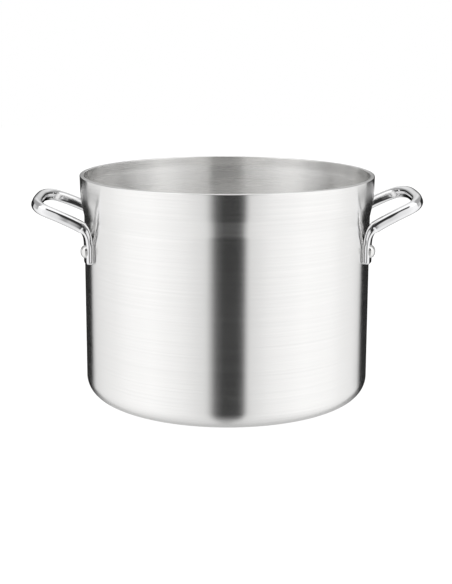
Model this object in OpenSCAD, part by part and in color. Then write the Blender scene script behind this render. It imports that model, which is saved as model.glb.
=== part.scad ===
// Two-handled stock pot: a one-piece pressed and spun body, two bent bar handles
// and the four rivets that hold them. Millimetres, +Z up. The origin is the centre
// of the base, on the surface that the pot stands on. The handles lie along X.

/* [Pot] */
// Height from the base to the rim
pot_h = 232; // [226:1:240]
// Outer radius of the body wall
body_r = 148.4; // [144:0.1:152]
// Outer radius at the rim
rim_r = 152.5; // [150:0.1:156]
// Wall thickness of the body and the base
wall_t = 4; // [3:0.1:5]
// Width of the rim's top face, rounded edges included
rim_w = 4.5; // [3.5:0.1:5.5]
// Outer radius of the corner between base and wall
corner_r = 20; // [12:1:26]
// Height of the wider band below the rim
band_h = 25; // [18:0.5:30]
// Height of the cone between the band and the body
cone_h = 16.5; // [8:0.5:20]
// Height of the straight part of the mouth, inside the rim
mouth_h = 10; // [6:0.5:14]
// How far below the cone the inside starts to widen towards the mouth
flare_drop = 15; // [5:0.5:20]
// How much the band narrows towards its lower edge
band_taper = 0.7; // [0:0.1:1.5]
// Radius of the rounded edges of the rim
rim_round = 0.9; // [0.3:0.1:1.5]

/* [Handles] */
// Width of the handle bar, across the loop
bar_w = 10.6; // [9.5:0.1:12]
// Thickness of the handle bar, square to the loop
bar_t = 11.6; // [9.5:0.1:12.5]
// Width of the flattened foot, round the wall
foot_w = 15; // [14.8:0.1:18]
// Thickness of the flattened foot, out from the wall
foot_t = 5.8; // [5:0.1:8]
// Height of the foot's lower end above the base
foot_z = 146.8; // [140:0.1:150]
// Angle of each rivet, in the middle of its foot, from the handle's middle plane
foot_angle = 21.3; // [20:0.1:22]
// Distance from the wall to the middle of the grip
grip_reach = 47; // [42:0.1:52]
// Largest distance from the middle plane to the loop's side
loop_spread = 58.6; // [56:0.1:61]
// Angle at which the loop rises where it leaves the wall
rise_at_wall = 28.9; // [22:0.1:32]
// Angle at which the loop rises at the grip
rise_at_grip = 17.6; // [14:0.1:24]
// Height of the grip's centre line above the base, mean of both handles
grip_z = 206.6; // [200:0.1:212]
// How much higher the right grip sits than the left one
grip_skew = 3.4; // [0:0.1:5]

/* [Rivets] */
// Radius of the domed outer head
head_r = 6.6; // [5:0.1:6.8]
// Height of the domed outer head
head_h = 4.8; // [2.5:0.1:5.5]
// Radius of the rivet's shank
shank_r = 3; // [2:0.1:4]
// Radius of the closing head inside the pot
inner_head_r = 5.8; // [4:0.1:7]
// Height of the closing head inside the pot
inner_head_h = 2.4; // [1.5:0.1:3.5]
// Height of the rivets above the base
rivet_z = 160; // [158:0.5:162]

/* [Hidden] */
$fn = 96;
// Cutters reach this far past what they cut
cut_over = 5;

band_r = rim_r - band_taper;
inner_r = body_r - wall_t;
mouth_r = rim_r - rim_w;
band_z = pot_h - band_h;
cone_z = band_z - cone_h;

// The foot's inner face is sunk by this much and then cut to the wall's own curve
foot_sink = 1.2;
// The seat under each rivet head is cut this far below the crown of the foot
seat_depth = 0.4;
// Play between a rivet and what it passes through: round its head and round its shank
head_play = 0.3;
shank_play = 0.05;
seat_r = head_r + head_play;
hole_r = shank_r + shank_play;
head_plane = body_r + foot_t - seat_depth;
// The shank runs this far into the closing head
head_overlap = 0.5;

// Distance from the pot's axis to the centre line of a foot
foot_line_r = body_r + (foot_t - foot_sink) / 2;
// The loop's centre line: how far out from the wall, and how far from the middle plane
loop_side = [
    [0.01 * grip_reach, loop_spread],
    [0.22 * grip_reach, 0.985 * loop_spread],
    [0.50 * grip_reach, 0.961 * loop_spread],
    [0.76 * grip_reach, 0.899 * loop_spread],
    [0.90 * grip_reach, 0.731 * loop_spread],
    [0.982 * grip_reach, 0.437 * loop_spread]
];
// The bend starts this far below the corner where the foot and the loop would meet
bend_drop = 14.8;
loop_tilt = (rise_at_wall + rise_at_grip) / 2 + 1.5;
path_steps = 3;

// The section is a rectangle with round corners, each drawn with this many points
bar_round = 4.3;
foot_round = 2.9;
corner_points = 5;
// Height of the rounding at the lower end of a foot
foot_end_h = 4;
// The bar starts to flatten where its line is steeper than this, 1 being upright
flat_from = 0.6;
ring_sides = 4 * corner_points;

// Height of the loop at a distance out from the wall: its slope eases from wall to grip
function loop_z(out, lift) =
    let (left = grip_reach - out, easing = tan(rise_at_wall) - tan(rise_at_grip))
    grip_z + lift * out / grip_reach - tan(rise_at_grip) * left
    - easing * left * left / (2 * grip_reach);

function loop_point(p, side, lift) = [body_r + p[0], side * p[1], loop_z(p[0], lift)];

function foot_point(z, side) =
    [foot_line_r * cos(foot_angle), side * foot_line_r * sin(foot_angle), z];

// The loop's first stretch, carried back to a distance x from the pot's middle
function bend_corner(loop, x) =
    loop[0] + (loop[1] - loop[0]) * (x - loop[0][0]) / (loop[1][0] - loop[0][0]);

// Points of a smooth bend round a corner, without its end point
function bend_points(start, corner, end) =
    [for (t = [0, 0.25, 0.5, 0.75])
        (1 - t) * (1 - t) * start + 2 * t * (1 - t) * corner + t * t * end];

// Control points of one leg, from below its foot to the last point before the grip
function leg_points(side, lift) =
    let (loop = [for (p = loop_side) loop_point(p, side, lift)],
         corner = bend_corner(loop, foot_line_r * cos(foot_angle)),
         bend_low = corner[2] - bend_drop,
         low = foot_z + foot_end_h)
    concat([for (z = [low - 10, low, (low + bend_low) / 2]) foot_point(z, side)],
           bend_points(foot_point(bend_low, side), corner, loop[0]),
           loop);

function reversed(list) = [for (i = [len(list) - 1 : -1 : 0]) list[i]];

// The whole handle's control points, from the front foot round to the rear one
function handle_points(lift) = concat(
    leg_points(-1, lift),
    [loop_point([grip_reach, 0], 1, lift)],
    reversed(leg_points(1, lift))
);

// A point on the smooth curve through the control points p[i] and p[i + 1]
function curve_point(p, i, t) =
    0.5 * (2 * p[i] + (p[i + 1] - p[i - 1]) * t
           + (2 * p[i - 1] - 5 * p[i] + 4 * p[i + 1] - p[i + 2]) * t * t
           + (3 * p[i] - p[i - 1] - 3 * p[i + 1] + p[i + 2]) * t * t * t);

function smooth_line(p) = concat(
    [for (i = [1 : len(p) - 3], k = [0 : path_steps - 1]) curve_point(p, i, k / path_steps)],
    [p[len(p) - 2]]
);

function unit(v) = v / norm(v);

// A point on one of the section's round corners, the first corner being at [+w, +t]
function section_point(i, w, t, r) =
    let (corner = floor(i / corner_points),
         a = 90 * (corner + (i % corner_points) / (corner_points - 1)))
    [(corner == 0 || corner == 3 ? 1 : -1) * (w - r) + r * cos(a),
     (corner < 2 ? 1 : -1) * (t - r) + r * sin(a)];

// One ring of the bar, which flattens into the foot where the line is upright
function ring(centre, along, shrink) =
    let (turned = max(0, (abs(along[2]) - flat_from) / (1 - flat_from)),
         upright = turned * turned * (3 - 2 * turned),
         loop_up = [-sin(loop_tilt), 0, cos(loop_tilt)],
         to_wall = -unit([centre[0], centre[1], 0]),
         across = unit(cross(along, (1 - upright) * loop_up + upright * to_wall)),
         up = cross(across, along),
         half_w = (bar_w + upright * (foot_w - bar_w)) / 2,
         half_t = (bar_t + upright * (foot_t + foot_sink - bar_t)) / 2,
         radius = bar_round + upright * (foot_round - bar_round))
    [for (i = [0 : ring_sides - 1])
        let (p = section_point(i, half_w, half_t, radius))
        centre + p[0] * shrink[0] * across + p[1] * shrink[1] * up];

// Rings that round off the lower end of a foot, from the full ring to its tip
end_angles = [20, 40, 58, 72];
function end_shrink(a) = [pow(1 - pow(sin(a), 3), 1 / 3), 1 - 0.4 * pow(sin(a), 4)];
function end_rings(centre, out) =
    [for (a = end_angles) ring(centre + [0, 0, -foot_end_h * sin(a)], out, end_shrink(a))];

module handle_bar(lift) {
    line = smooth_line(handle_points(lift));
    last = len(line) - 1;
    middle = [for (i = [0 : last])
        ring(line[i], unit(line[min(i + 1, last)] - line[max(i - 1, 0)]), [1, 1])];
    rings = concat(reversed(end_rings(line[0], [0, 0, 1])), middle,
                   end_rings(line[last], [0, 0, -1]));
    n = ring_sides;
    count = len(rings);
    sides = [for (r = [0 : count - 2], i = [0 : n - 1])
        [r * n + i, r * n + (i + 1) % n, (r + 1) * n + (i + 1) % n, (r + 1) * n + i]];
    first_cap = [for (i = [n - 1 : -1 : 0]) i];
    last_cap = [for (i = [0 : n - 1]) (count - 1) * n + i];
    polyhedron(points = [for (r = rings) each r], faces = concat(sides, [first_cap, last_cap]));
}

// Places something on the wall at a rivet, with +Z pointing straight out of the wall
module at_rivet(angle) {
    rotate([0, 0, angle])
        translate([0, 0, rivet_z])
            rotate([0, 90, 0])
                children();
}

// A quarter-round cutter for the outer corner of a profile whose corner is at [x, y]
module corner_cut(x, y, r, dir_x, dir_y) {
    difference() {
        translate([x - (dir_x > 0 ? r : 0), y - (dir_y > 0 ? r : 0)])
            square(r);
        translate([x - dir_x * r, y - dir_y * r])
            circle(r);
    }
}

// The pot's outer outline, from the axis to the wall
module outer_outline() {
    difference() {
        polygon([[0, 0], [body_r, 0], [body_r, cone_z], [band_r, band_z], [rim_r, pot_h], [0, pot_h]]);
        corner_cut(body_r, 0, corner_r, 1, -1);
        corner_cut(rim_r, pot_h, rim_round, 1, 1);
    }
}

// The inside of the pot, open at the top. It widens to the mouth in one long flare
module inner_outline() {
    above = pot_h + cut_over;
    difference() {
        polygon([[0, wall_t], [inner_r, wall_t], [inner_r, cone_z - flare_drop],
                 [mouth_r, pot_h - mouth_h], [mouth_r, above], [0, above]]);
        corner_cut(inner_r, wall_t, corner_r - wall_t, 1, -1);
    }
}

module pot_body() {
    color([0.86, 0.86, 0.85])
        difference() {
            rotate_extrude()
                difference() {
                    outer_outline();
                    inner_outline();
                }
            for (angle = [foot_angle, -foot_angle, 180 - foot_angle, 180 + foot_angle])
                at_rivet(angle)
                    translate([0, 0, inner_r - cut_over])
                        cylinder(h = wall_t + 2 * cut_over, r = hole_r);
        }
}

// A handle as it lies on the right, before the left one is mirrored
module handle(lift) {
    color([0.75, 0.76, 0.78])
        difference() {
            handle_bar(lift);
            cylinder(h = cone_z, r = body_r);
            for (angle = [foot_angle, -foot_angle])
                at_rivet(angle) {
                    translate([0, 0, body_r - cut_over])
                        cylinder(h = foot_t + 2 * cut_over, r = hole_r);
                    translate([0, 0, head_plane])
                        cylinder(h = foot_t, r = seat_r);
                }
        }
}

module handle_right() {
    handle(grip_skew / 2);
}

module handle_left() {
    mirror([1, 0, 0])
        handle(-grip_skew / 2);
}

// A domed head: the cap of a sphere with the given base radius and height
module dome(r, h) {
    sphere_r = (r * r + h * h) / (2 * h);
    rotate_extrude()
        intersection() {
            translate([0, h - sphere_r])
                circle(sphere_r);
            square([r, h]);
        }
}

module rivet(angle) {
    color([0.9, 0.9, 0.9]) {
        at_rivet(angle)
            union() {
                translate([0, 0, head_plane])
                    dome(head_r, head_h);
                translate([0, 0, inner_r - head_overlap])
                    cylinder(h = head_plane - inner_r + head_overlap, r = shank_r);
            }
        intersection() {
            at_rivet(angle)
                translate([0, 0, inner_r])
                    rotate([180, 0, 0])
                        dome(inner_head_r, inner_head_h);
            cylinder(h = cone_z, r = inner_r);
        }
    }
}

module rivet_right_front() {
    rivet(-foot_angle);
}

module rivet_right_rear() {
    rivet(foot_angle);
}

module rivet_left_front() {
    rivet(180 + foot_angle);
}

module rivet_left_rear() {
    rivet(180 - foot_angle);
}

pot_body();
handle_right();
handle_left();
rivet_right_front();
rivet_right_rear();
rivet_left_front();
rivet_left_rear();
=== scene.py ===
import math

import bmesh
import bpy
from mathutils import Matrix, Vector


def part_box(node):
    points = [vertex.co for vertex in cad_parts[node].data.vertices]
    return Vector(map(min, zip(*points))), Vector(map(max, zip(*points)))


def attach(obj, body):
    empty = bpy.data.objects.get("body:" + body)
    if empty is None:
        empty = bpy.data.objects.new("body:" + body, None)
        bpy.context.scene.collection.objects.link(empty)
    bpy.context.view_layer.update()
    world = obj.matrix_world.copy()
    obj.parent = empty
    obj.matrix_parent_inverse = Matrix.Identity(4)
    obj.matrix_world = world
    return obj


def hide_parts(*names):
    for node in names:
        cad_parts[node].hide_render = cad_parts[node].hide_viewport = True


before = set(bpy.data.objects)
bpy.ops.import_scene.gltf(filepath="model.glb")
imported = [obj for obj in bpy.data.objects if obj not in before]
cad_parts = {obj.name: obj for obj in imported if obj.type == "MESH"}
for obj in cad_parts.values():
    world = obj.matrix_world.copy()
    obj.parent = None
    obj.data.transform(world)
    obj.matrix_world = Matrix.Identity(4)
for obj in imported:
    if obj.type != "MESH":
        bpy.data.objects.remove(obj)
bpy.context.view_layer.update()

MM = 0.001

# ---------------------------------------------------------------- pot sizes, as in the CAD
pot_low, pot_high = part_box("pot_body")
POT_H = pot_high.z - pot_low.z
RIM_R = (pot_high.x - pot_low.x) / 2
BODY_R = 148.4 * MM
WALL = 4.0 * MM
RIM_W = 4.5 * MM
MOUTH_R = RIM_R - RIM_W
INNER_R = BODY_R - WALL
BAND_TAPER = 0.7 * MM
BAND_Z = POT_H - 25.0 * MM
CONE_Z = BAND_Z - 16.5 * MM
CORNER_R = 20.0 * MM
MOUTH_LOW = POT_H - 10.0 * MM
FLARE_LOW = CONE_Z - 15.0 * MM
RIM_ROUND = 0.9 * MM

# ---------------------------------------------------------------- handle sizes, as in the CAD
BAR_W = 10.6 * MM
BAR_T = 11.6 * MM
FOOT_W = 15.0 * MM
FOOT_T = 5.8 * MM
FOOT_SINK = 1.2 * MM
FOOT_Z = 146.8 * MM
FOOT_ANGLE = math.radians(21.3)
GRIP_REACH = 47.0 * MM
LOOP_SPREAD = 58.6 * MM
RISE_AT_WALL = math.radians(28.9)
RISE_AT_GRIP = math.radians(17.6)
GRIP_Z = 206.6 * MM
GRIP_SKEW = 3.4 * MM
LOOP_TILT = (RISE_AT_WALL + RISE_AT_GRIP) / 2 + math.radians(1.5)
LOOP_SIDE = [(0.01, 1.0), (0.22, 0.985), (0.50, 0.961), (0.76, 0.899), (0.90, 0.731), (0.982, 0.437)]
BEND_DROP = 14.8 * MM
BAR_ROUND = 4.3 * MM
FLAT_FROM = 0.6
FOOT_ROUND = 2.9 * MM
FOOT_END_H = 4.0 * MM
FOOT_LEAD = 6.0 * MM

# ---------------------------------------------------------------- rivet sizes, as in the CAD
HEAD_R = 6.6 * MM
HEAD_H = 4.8 * MM
SHANK_R = 3.0 * MM
INNER_HEAD_R = 5.8 * MM
INNER_HEAD_H = 2.4 * MM
RIVET_Z = 160.0 * MM
SEAT_DEPTH = 0.4 * MM
HEAD_PLANE = BODY_R + FOOT_T - SEAT_DEPTH

# ---------------------------------------------------------------- rounded here, sharp in the CAD
CONE_FOOT_ROUND = 14.0 * MM
BAND_FOOT_ROUND = 40.0 * MM
MOUTH_EDGE_ROUND = 0.5 * MM
MOUTH_ROUND = 40.0 * MM
FLARE_ROUND = 80.0 * MM
# The closing head runs this far into the wall, so that no gap shows round it
INNER_HEAD_SINK = 0.3 * MM

# ---------------------------------------------------------------- mesh detail
POT_SEGMENTS = 288
POT_RING_STEP = 14.0 * MM
POT_RING_SUPPORT = 0.6 * MM
ON_AXIS = 1e-7
FOOT_END_ANGLES = (10, 20, 30, 40, 50, 58, 66, 72, 77)
PATH_STEPS = 9
CORNER_STEPS = 9
FLAT_STOPS = (0.14, 0.5, 0.86)
DOME_STEPS = 14
RIVET_SEGMENTS = 64

# ---------------------------------------------------------------- camera
CAMERA_DISTANCE = 1.314
CAMERA_HEIGHT = 0.4034
CAMERA_YAW = 0.0248
CAMERA_PITCH = 0.2056
CAMERA_ROLL = 0.0037
CAMERA_LENS = 78.45
SHIFT_X = -0.0015
SHIFT_Y = -0.0377

# ---------------------------------------------------------------- floor
FLOOR_R = 3.0
FLOOR_GAP = 0.2 * MM

# ---------------------------------------------------------------- colours and light levels
WARM_TINT = (1.0, 0.995, 0.985)
COOL_TINT = (1.0, 1.0, 1.01)
WHITE = (1, 1, 1, 1)
CEILING = (1.15, 1.15, 1.15, 1)
FAR_FLOOR = (0.62, 0.62, 0.62, 1)
FLAG = (0.03, 0.03, 0.03, 1)


# ================================================================ outlines and lathe work
def fillet(before, corner, after, radius, steps):
    """Points of the arc that rounds a corner of an outline."""
    a, b = (before - corner).normalized(), (after - corner).normalized()
    half = a.angle(b) / 2
    reach = radius / math.tan(half)
    centre = corner + (a + b).normalized() * (radius / math.sin(half))
    start, end = corner + a * reach - centre, corner + b * reach - centre
    turn = start.angle(end)
    return [
        centre + (start * math.sin((1 - t) * turn) + end * math.sin(t * turn)) / math.sin(turn)
        for t in (k / steps for k in range(steps + 1))
    ]


def even_steps(points, longest, support):
    """Adds points on long straight stretches, with one close to each end to hold the shading flat."""
    out = [points[0]]
    for a, b in zip(points, points[1:]):
        length = (b - a).length
        if length > 4 * support:
            count = max(1, math.ceil((length - 2 * support) / longest))
            stops = [support + (length - 2 * support) * k / count for k in range(count + 1)]
            out += [a.lerp(b, s / length) for s in stops]
        out.append(b)
    return out


def outline(corners, longest, support):
    """An outline from (r, z, fillet radius, fillet steps) corners; radius 0 keeps the corner sharp."""
    places = [Vector((r, z, 0)) for r, z, _, _ in corners]
    points = []
    for i, (_, _, radius, steps) in enumerate(corners):
        if radius and 0 < i < len(corners) - 1:
            points += fillet(places[i - 1], places[i], places[i + 1], radius, steps)
        else:
            points.append(places[i])
    return even_steps(points, longest, support)


def lathe(name, points, segments):
    """A smooth closed mesh turned round Z from an outline that starts and ends on the axis."""
    bm = bmesh.new()
    rings = []
    for p in points:
        if p.x < ON_AXIS:
            rings.append([bm.verts.new((0, 0, p.y))])
            continue
        rings.append([
            bm.verts.new((p.x * math.cos(a), p.x * math.sin(a), p.y))
            for a in (2 * math.pi * k / segments for k in range(segments))
        ])
    for low, high in zip(rings, rings[1:]):
        for k in range(segments):
            n = (k + 1) % segments
            quad = [low[k % len(low)], low[n % len(low)], high[n % len(high)], high[k % len(high)]]
            face = [v for i, v in enumerate(quad) if v not in quad[:i]]
            bm.faces.new(face)
    return finish_mesh(name, bm)


def finish_mesh(name, bm):
    bmesh.ops.recalc_face_normals(bm, faces=bm.faces)
    mesh = bpy.data.meshes.new(name)
    bm.to_mesh(mesh)
    bm.free()
    mesh.polygons.foreach_set("use_smooth", [True] * len(mesh.polygons))
    piece = bpy.data.objects.new(name, mesh)
    bpy.context.scene.collection.objects.link(piece)
    return piece


def pot_shell():
    """The pot's body. Its outside takes the first material and its inside the second."""
    corners = [
        (0, 0, 0, 0),
        (BODY_R, 0, CORNER_R, 24),
        (BODY_R, CONE_Z, CONE_FOOT_ROUND, 6),
        (RIM_R - BAND_TAPER, BAND_Z, BAND_FOOT_ROUND, 10),
        (RIM_R, POT_H, RIM_ROUND, 6),
        (MOUTH_R, POT_H, MOUTH_EDGE_ROUND, 4),
        (MOUTH_R, MOUTH_LOW, MOUTH_ROUND, 6),
        (INNER_R, FLARE_LOW, FLARE_ROUND, 8),
        (INNER_R, WALL, CORNER_R - WALL, 20),
        (0, WALL, 0, 0),
    ]
    shell = lathe("pot_shell", outline(corners, POT_RING_STEP, POT_RING_SUPPORT), POT_SEGMENTS)
    inside = Vector((0, 0, POT_H * 0.6))
    for face in shell.data.polygons:
        face.material_index = 1 if face.normal.dot(inside - face.center) > 0 else 0
    return shell


# ================================================================ handles
def smooth_line(points, steps):
    """The curve through all the control points but the two end ones, as the CAD draws it."""
    out = []
    for p0, p1, p2, p3 in zip(points, points[1:], points[2:], points[3:]):
        for k in range(steps):
            t = k / steps
            out.append(0.5 * (2 * p1 + (p2 - p0) * t + (2 * p0 - 5 * p1 + 4 * p2 - p3) * t * t
                              + (3 * p1 - p0 - 3 * p2 + p3) * t ** 3))
    return out + [points[-2]]


def loop_z(out, lift):
    """Height of the loop at a distance out from the wall: its slope eases from wall to grip."""
    left = GRIP_REACH - out
    easing = math.tan(RISE_AT_WALL) - math.tan(RISE_AT_GRIP)
    return (GRIP_Z + lift * out / GRIP_REACH - math.tan(RISE_AT_GRIP) * left
            - easing * left * left / (2 * GRIP_REACH))


def leg_points(side, lift):
    """Control points of one leg, from below its foot to the last point before the grip."""
    line_r = BODY_R + (FOOT_T - FOOT_SINK) / 2
    x, y = line_r * math.cos(FOOT_ANGLE), side * line_r * math.sin(FOOT_ANGLE)
    loop = [
        Vector((BODY_R + a * GRIP_REACH, side * b * LOOP_SPREAD, loop_z(a * GRIP_REACH, lift)))
        for a, b in LOOP_SIDE
    ]
    corner = loop[0].lerp(loop[1], (x - loop[0].x) / (loop[1].x - loop[0].x))
    bend_low = corner.z - BEND_DROP
    straight_low = FOOT_Z + FOOT_END_H
    foot = [Vector((x, y, z)) for z in (FOOT_Z - FOOT_LEAD, straight_low, (straight_low + bend_low) / 2)]
    start, end = Vector((x, y, bend_low)), loop[0]
    bend = [start.lerp(corner, t).lerp(corner.lerp(end, t), t) for t in (0, 0.25, 0.5, 0.75)]
    return foot + bend + loop


def rounded_rectangle(half_w, half_t, radius):
    """Points of a rectangle with round corners, with a few points on each flat to hold its shading."""
    points = []
    for quarter, (su, sv) in enumerate(((1, 1), (-1, 1), (-1, -1), (1, -1))):
        for k in range(CORNER_STEPS):
            a = math.pi / 2 * (quarter + k / (CORNER_STEPS - 1))
            points.append(Vector((su * (half_w - radius) + radius * math.cos(a),
                                  sv * (half_t - radius) + radius * math.sin(a))))
    out = []
    for k, point in enumerate(points):
        out.append(point)
        if k % CORNER_STEPS == CORNER_STEPS - 1:
            out += [point.lerp(points[(k + 1) % len(points)], stop) for stop in FLAT_STOPS]
    return out


def bar_ring(centre, along, shrink_w, shrink_t):
    """One ring of the bar, which flattens into the foot where the line is upright."""
    turned = max(0.0, (abs(along.z) - FLAT_FROM) / (1 - FLAT_FROM))
    upright = turned * turned * (3 - 2 * turned)
    loop_up = Vector((-math.sin(LOOP_TILT), 0, math.cos(LOOP_TILT)))
    to_wall = -Vector((centre.x, centre.y, 0)).normalized()
    across = along.cross(loop_up.lerp(to_wall, upright)).normalized()
    up = across.cross(along)
    half_w = (BAR_W + upright * (FOOT_W - BAR_W)) / 2
    half_t = (BAR_T + upright * (FOOT_T + FOOT_SINK - BAR_T)) / 2
    radius = BAR_ROUND + upright * (FOOT_ROUND - BAR_ROUND)
    return [
        on_or_outside_wall(centre + p.x * shrink_w * across + p.y * shrink_t * up)
        for p in rounded_rectangle(half_w, half_t, radius)
    ]


def on_or_outside_wall(p):
    """Presses a point of the foot that would be inside the wall onto the wall's face."""
    reach = math.hypot(p.x, p.y)
    if p.z < CONE_Z and reach < BODY_R:
        return Vector((p.x * BODY_R / reach, p.y * BODY_R / reach, p.z))
    return p


def foot_end_rings(centre, along):
    """Rings that round off the lower end of a foot, from the full ring to its tip."""
    rings = []
    for degrees in FOOT_END_ANGLES:
        s = math.sin(math.radians(degrees))
        drop = Vector((0, 0, -FOOT_END_H * s))
        rings.append(bar_ring(centre + drop, along, (1 - s ** 3) ** (1 / 3), 1 - 0.4 * s ** 4))
    return rings


def handle_bar(name, lift, mirrored):
    """A handle as one closed mesh, swept along its line from the front foot round to the rear one."""
    line = smooth_line(
        leg_points(-1, lift)
        + [Vector((BODY_R + GRIP_REACH, 0, loop_z(GRIP_REACH, lift)))]
        + leg_points(1, lift)[::-1],
        PATH_STEPS,
    )
    last = len(line) - 1
    middle = [
        bar_ring(line[i], (line[min(i + 1, last)] - line[max(i - 1, 0)]).normalized(), 1, 1)
        for i in range(last + 1)
    ]
    up, down = Vector((0, 0, 1)), Vector((0, 0, -1))
    rings = foot_end_rings(line[0], up)[::-1] + middle + foot_end_rings(line[last], down)
    bm = bmesh.new()
    flip = -1 if mirrored else 1
    loops = [[bm.verts.new((flip * p.x, p.y, p.z)) for p in ring] for ring in rings]
    sides = len(loops[0])
    for a, b in zip(loops, loops[1:]):
        for k in range(sides):
            n = (k + 1) % sides
            bm.faces.new((a[k], a[n], b[n], b[k]))
    for end in (loops[0], loops[-1]):
        hub = bm.verts.new(sum((v.co for v in end), Vector()) / sides)
        for k in range(sides):
            bm.faces.new((end[k], end[(k + 1) % sides], hub))
    return finish_mesh(name, bm)


# ================================================================ rivets
def rivet(name, angle):
    """A rivet along +Z from the pot's axis: closing head, shank and domed head, then turned to its place."""
    points = [Vector((0, INNER_R - INNER_HEAD_H, 0))]
    for k in range(1, DOME_STEPS + 1):
        t = math.pi / 2 * k / DOME_STEPS
        points.append(Vector((INNER_HEAD_R * math.sin(t), INNER_R - INNER_HEAD_H * math.cos(t) ** 0.8, 0)))
    points += [Vector((INNER_HEAD_R, INNER_R + INNER_HEAD_SINK, 0)),
               Vector((SHANK_R, INNER_R + INNER_HEAD_SINK, 0)),
               Vector((SHANK_R, HEAD_PLANE, 0)),
               Vector((HEAD_R, HEAD_PLANE, 0))]
    for k in range(1, DOME_STEPS + 1):
        t = math.pi / 2 * (1 - k / DOME_STEPS)
        points.append(Vector((HEAD_R * math.sin(t), HEAD_PLANE + HEAD_H * math.cos(t) ** 0.85, 0)))
    piece = lathe(name, points, RIVET_SEGMENTS)
    place = (Matrix.Rotation(angle, 4, "Z") @ Matrix.Translation((0, 0, RIVET_Z))
             @ Matrix.Rotation(math.pi / 2, 4, "Y"))
    piece.data.transform(place)
    return piece


# ================================================================ materials
class Nodes:
    """A node tree, with short calls to add nodes and join them."""

    def __init__(self, tree):
        self.tree = tree

    def add(self, kind, **settings):
        node = self.tree.nodes.new(kind)
        for key, value in settings.items():
            setattr(node, key, value)
        return node

    def put(self, node, socket, value):
        """Joins a node's output to a socket, or sets the socket to a constant."""
        if isinstance(value, bpy.types.NodeSocket):
            self.tree.links.new(value, node.inputs[socket])
        else:
            node.inputs[socket].default_value = value

    def math(self, operation, a, b=0.0):
        node = self.add("ShaderNodeMath", operation=operation)
        self.put(node, 0, a)
        self.put(node, 1, b)
        return node.outputs[0]

    def split(self, vector):
        node = self.add("ShaderNodeSeparateXYZ")
        self.put(node, 0, vector)
        return node.outputs


class SurfaceNodes(Nodes):
    """The node tree of a new material."""

    def __init__(self, name):
        self.material = bpy.data.materials.new(name)
        self.material.use_nodes = True
        super().__init__(self.material.node_tree)
        self.shader = self.tree.nodes["Principled BSDF"]

    def surface(self, socket, value):
        self.put(self.shader, socket, value)

    def noise(self, vector, scale, detail, roughness=0.5):
        node = self.add("ShaderNodeTexNoise")
        self.put(node, "Vector", vector)
        self.put(node, "Scale", scale)
        self.put(node, "Detail", detail)
        self.put(node, "Roughness", roughness)
        return node.outputs["Fac"]

    def remap(self, value, low, high, new_low, new_high):
        node = self.add("ShaderNodeMapRange")
        for socket, v in zip(("Value", "From Min", "From Max", "To Min", "To Max"),
                             (value, low, high, new_low, new_high)):
            self.put(node, socket, v)
        return node.outputs["Result"]

    def bump(self, height, strength, distance):
        node = self.add("ShaderNodeBump")
        self.put(node, "Strength", strength)
        self.put(node, "Distance", distance)
        self.put(node, "Height", height)
        self.surface("Normal", node.outputs["Normal"])

    def grey(self, level, tint):
        """A near-grey base colour: one level times a fixed tint."""
        node = self.add("ShaderNodeCombineColor")
        for socket, t in zip(("Red", "Green", "Blue"), tint):
            self.put(node, socket, self.math("MULTIPLY", level, t))
        self.surface("Base Color", node.outputs["Color"])


class WorldNodes(Nodes):
    """The node tree of a new world, with calls for light levels that change with direction."""

    def __init__(self, name):
        world = bpy.data.worlds.new(name)
        bpy.context.scene.world = world
        world.use_nodes = True
        super().__init__(world.node_tree)
        self.tree.nodes.clear()

    def ramp(self, value, stops):
        """A level that changes in straight steps between (place, level) stops."""
        low, high = stops[0][0], stops[-1][0]
        node = self.add("ShaderNodeValToRGB")
        elements = node.color_ramp.elements
        while len(elements) < len(stops):
            elements.new(0.5)
        for element, (place, level) in zip(elements, stops):
            element.position = (place - low) / (high - low)
            element.color = (level, level, level, 1)
        self.put(node, "Fac", self.math("DIVIDE", self.math("SUBTRACT", value, low), high - low))
        return node.outputs["Color"]

    def blend(self, kind, weight, a, b):
        node = self.add("ShaderNodeMix", data_type="RGBA", blend_type=kind)
        self.put(node, 0, weight)
        self.put(node, 6, a)
        self.put(node, 7, b)
        return node.outputs[2]

    def mix(self, weight, a, b):
        """a where the weight is 0 and b where it is 1."""
        return self.blend("MIX", weight, a, b)


def spun_aluminium(name, tone, roughness):
    """Aluminium turned on a lathe: fine lines run round the pot, so reflections stretch up and down."""
    m = SurfaceNodes(name)
    place = m.add("ShaderNodeTexCoord").outputs["Object"]
    x, y, z = m.split(place)
    radius = m.math("SQRT", m.math("ADD", m.math("MULTIPLY", x, x), m.math("MULTIPLY", y, y)))
    along_outline = m.math("ADD", z, radius)

    def lines(stretch):
        """A place for noise that changes fast along the outline and slowly round the pot."""
        join = m.add("ShaderNodeCombineXYZ")
        m.put(join, 0, m.math("MULTIPLY", x, 0.5))
        m.put(join, 1, m.math("MULTIPLY", y, 0.5))
        m.put(join, 2, m.math("MULTIPLY", along_outline, stretch))
        return join.outputs[0]

    fine = m.noise(lines(260.0), 9.0, 2.0, 0.7)
    broad = m.noise(lines(60.0), 7.0, 3.0, 0.6)
    cloud = m.noise(place, 14.0, 2.0)
    both = m.math("ADD", m.math("MULTIPLY", fine, 0.85), m.math("MULTIPLY", broad, 0.15))
    m.grey(m.remap(both, 0.3, 0.7, tone - 0.05, tone + 0.03), WARM_TINT)
    streaks = m.math("ADD", both, m.math("MULTIPLY", cloud, 0.25))
    m.surface("Roughness", m.remap(streaks, 0.4, 0.85, roughness - 0.045, roughness + 0.045))
    m.bump(both, 0.02, 0.3 * MM)
    m.surface("Metallic", 1.0)
    m.surface("Anisotropic", 1.0)
    m.surface("Anisotropic Rotation", 0.25)
    m.surface("Tangent", m.add("ShaderNodeTangent", direction_type="RADIAL", axis="Z").outputs[0])
    return m.material


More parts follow.
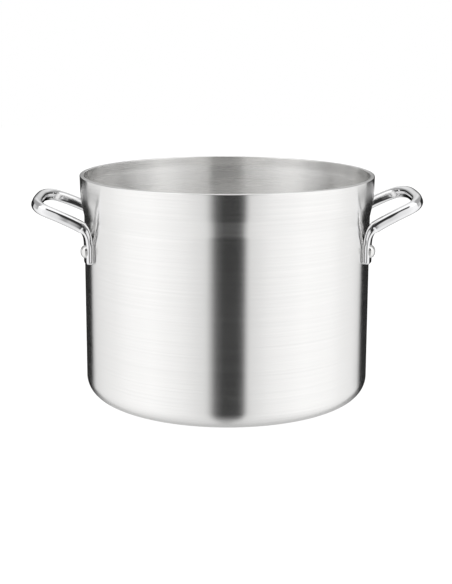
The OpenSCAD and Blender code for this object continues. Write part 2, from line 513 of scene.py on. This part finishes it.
def polished_metal(name, tone, tint, roughness):
    """Polished steel or aluminium with faint polishing haze and shallow waves from the forming."""
    m = SurfaceNodes(name)
    place = m.add("ShaderNodeTexCoord").outputs["Object"]
    haze = m.noise(place, 60.0, 4.0, 0.6)
    grain = m.noise(place, 1400.0, 2.0)
    waves = m.noise(place, 45.0, 1.0)
    m.grey(m.remap(haze, 0.3, 0.7, tone - 0.02, tone + 0.02), tint)
    m.surface("Roughness", m.remap(haze, 0.3, 0.7, roughness - 0.02, roughness + 0.03))
    m.bump(m.math("ADD", waves, m.math("MULTIPLY", grain, 0.02)), 0.15, 0.4 * MM)
    m.surface("Metallic", 1.0)
    return m.material


def dress(piece, materials, slot, *nodes):
    """Gives a piece its materials, puts it under the root body and hides the CAD nodes that it stands for.
    """
    for material in materials:
        piece.data.materials.append(material)
    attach(piece, "root")
    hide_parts(*nodes)


# ================================================================ studio
def studio_world():
    """White for the camera. The metal sees a studio that is set by direction, as azimuth from the
    camera and elevation: two wide soft boxes left and right with a dark gap between them, dark flags
    far round both sides, a light floor with a dimmer strip towards the camera, a light ceiling, and
    dim light behind the pot."""
    w = WorldNodes("studio")
    x, y, z = w.split(w.add("ShaderNodeTexCoord").outputs["Generated"])
    to_degrees = 180 / math.pi
    azimuth = w.math("MULTIPLY", w.math("ARCTAN2", x, w.math("MULTIPLY", y, -1.0)), to_degrees)
    around = w.math("ADD", azimuth, math.degrees(CAMERA_YAW))
    elevation = w.math("MULTIPLY", w.math("ARCSINE", z), to_degrees)

    # The boxes, a little brighter towards the top, and a dark bar over the camera
    boxes = w.ramp(around, [
        (-180, 0.02), (-139, 0.02), (-137, 0.76), (-112, 0.90), (-82, 1.02), (-62, 1.04), (-30, 0.88),
        (-16, 0.76), (-9, 0.12), (-3, 0.034), (9, 0.034), (13, 0.1), (17, 0.76), (32, 0.90), (64, 1.04),
        (90, 1.02), (120, 0.90), (134.5, 0.78), (136.5, 0.02), (180, 0.02),
    ])
    raised = w.ramp(elevation, [(-90, 1), (14, 1), (24, 1.2), (90, 1.2)])
    tall_boxes = w.blend("MULTIPLY", 1.0, boxes, raised)
    over_camera = w.math("MULTIPLY", w.ramp(elevation, [(-90, 0), (18, 0), (26, 1), (90, 1)]),
                         w.ramp(around, [(-180, 0), (-40, 0), (-30, 1), (30, 1), (40, 0), (180, 0)]))
    sides = w.mix(over_camera, tall_boxes, FLAG)

    # Behind the pot: a narrow glow at the very back, and a dim wall that lightens towards it
    back = w.ramp(around, [(-180, 1), (-177, 1), (-173, 0), (173, 0), (177, 1), (180, 1)])
    back_glow = w.ramp(elevation, [(-90, 0), (0, 0), (8, 0.44), (90, 0.44)])
    far_wall = w.ramp(around, [
        (-180, 0.8), (-170, 0.8), (-156, 0.38), (156, 0.38), (170, 0.8), (180, 0.8),
    ])
    on_far_wall = w.math("MULTIPLY",
                         w.ramp(around, [(-180, 1), (-98, 1), (-96, 0), (99, 0), (101, 1), (180, 1)]),
                         w.ramp(elevation, [(-90, 0), (4, 0), (14, 1), (90, 1)]))
    room = w.mix(on_far_wall, w.mix(back, sides, back_glow), far_wall)

    # Floor and ceiling. Behind the pot the floor reaches further up, to the foot of the far wall
    on_far_floor = w.math("MULTIPLY",
                          w.ramp(around, [(-180, 1), (-150, 1), (-140, 0), (140, 0), (150, 1), (180, 1)]),
                          w.ramp(elevation, [(-90, 1), (-34, 1), (-22, 0), (90, 0)]))
    on_ceiling = w.ramp(elevation, [(-90, 0), (50, 0), (66, 1), (90, 1)])
    floor = w.ramp(around, [
        (-180, 0.6), (-146, 0.5), (-120, 0.74), (-20, 0.76), (-8, 0.46), (8, 0.46), (20, 0.76),
        (120, 0.74), (146, 0.5), (180, 0.6),
    ])
    on_floor = w.ramp(elevation, [(-90, 1), (-66, 1), (-40, 0), (90, 0)])
    above_floor = w.mix(on_ceiling, w.mix(on_far_floor, room, FAR_FLOOR), CEILING)
    seen_by_metal = w.mix(on_floor, above_floor, floor)

    is_camera = w.add("ShaderNodeLightPath").outputs["Is Camera Ray"]
    background = w.add("ShaderNodeBackground")
    w.put(background, "Color", w.mix(is_camera, seen_by_metal, WHITE))
    w.put(background, "Strength", 1.0)
    w.put(w.add("ShaderNodeOutputWorld"), "Surface", background.outputs[0])


def studio_floor():
    """A plain floor that glows white. The metal doesn't reflect it: it sees the world's floor light."""
    bm = bmesh.new()
    bmesh.ops.create_circle(bm, cap_ends=True, segments=64, radius=FLOOR_R)
    floor = finish_mesh("floor", bm)
    floor.location.z = -FLOOR_GAP
    floor.visible_glossy = False
    m = SurfaceNodes("floor_paper")
    m.surface("Base Color", (0.2, 0.2, 0.2, 1))
    m.surface("Roughness", 1.0)
    m.surface("Specular IOR Level", 0.0)
    m.surface("Emission Color", WHITE)
    m.surface("Emission Strength", 0.93)
    floor.data.materials.append(m.material)


def studio_camera():
    """The camera at the photograph's viewing angle."""
    data = bpy.data.cameras.new("camera")
    data.lens = CAMERA_LENS
    data.sensor_width = 36.0
    data.shift_x = SHIFT_X
    data.shift_y = SHIFT_Y
    camera = bpy.data.objects.new("camera", data)
    bpy.context.scene.collection.objects.link(camera)
    place = Vector((-CAMERA_DISTANCE * math.sin(CAMERA_YAW),
                    -CAMERA_DISTANCE * math.cos(CAMERA_YAW), CAMERA_HEIGHT))
    camera.matrix_world = (Matrix.Translation(place) @ Matrix.Rotation(-CAMERA_YAW, 4, "Z")
                           @ Matrix.Rotation(math.pi / 2 - CAMERA_PITCH, 4, "X")
                           @ Matrix.Rotation(CAMERA_ROLL, 4, "Z"))
    bpy.context.scene.camera = camera


# ================================================================ the pot
# The inside is the same spun aluminium with a rougher finish and a lighter base tone. The lighter tone is
# painted light that brightens the inside.
pot_metals = [spun_aluminium("spun_aluminium", 0.94, 0.22), spun_aluminium("spun_inside", 0.98, 0.25)]
handle_metal = [polished_metal("polished_steel", 0.9, COOL_TINT, 0.07)]
rivet_metal = [polished_metal("polished_aluminium", 0.88, WARM_TINT, 0.16)]

dress(pot_shell(), pot_metals, "pot", "pot_body")
dress(handle_bar("right_handle", GRIP_SKEW / 2, False), handle_metal, "handle", "handle_right")
dress(handle_bar("left_handle", -GRIP_SKEW / 2, True), handle_metal, "handle", "handle_left")
rivet_places = {
    "rivet_right_front": -FOOT_ANGLE,
    "rivet_right_rear": FOOT_ANGLE,
    "rivet_left_front": math.pi + FOOT_ANGLE,
    "rivet_left_rear": math.pi - FOOT_ANGLE,
}
for node_name, angle in rivet_places.items():
    dress(rivet("domed_" + node_name, angle), rivet_metal, "rivet", node_name)

studio_world()
studio_floor()
studio_camera()
bpy.context.scene.view_settings.view_transform = "Standard"
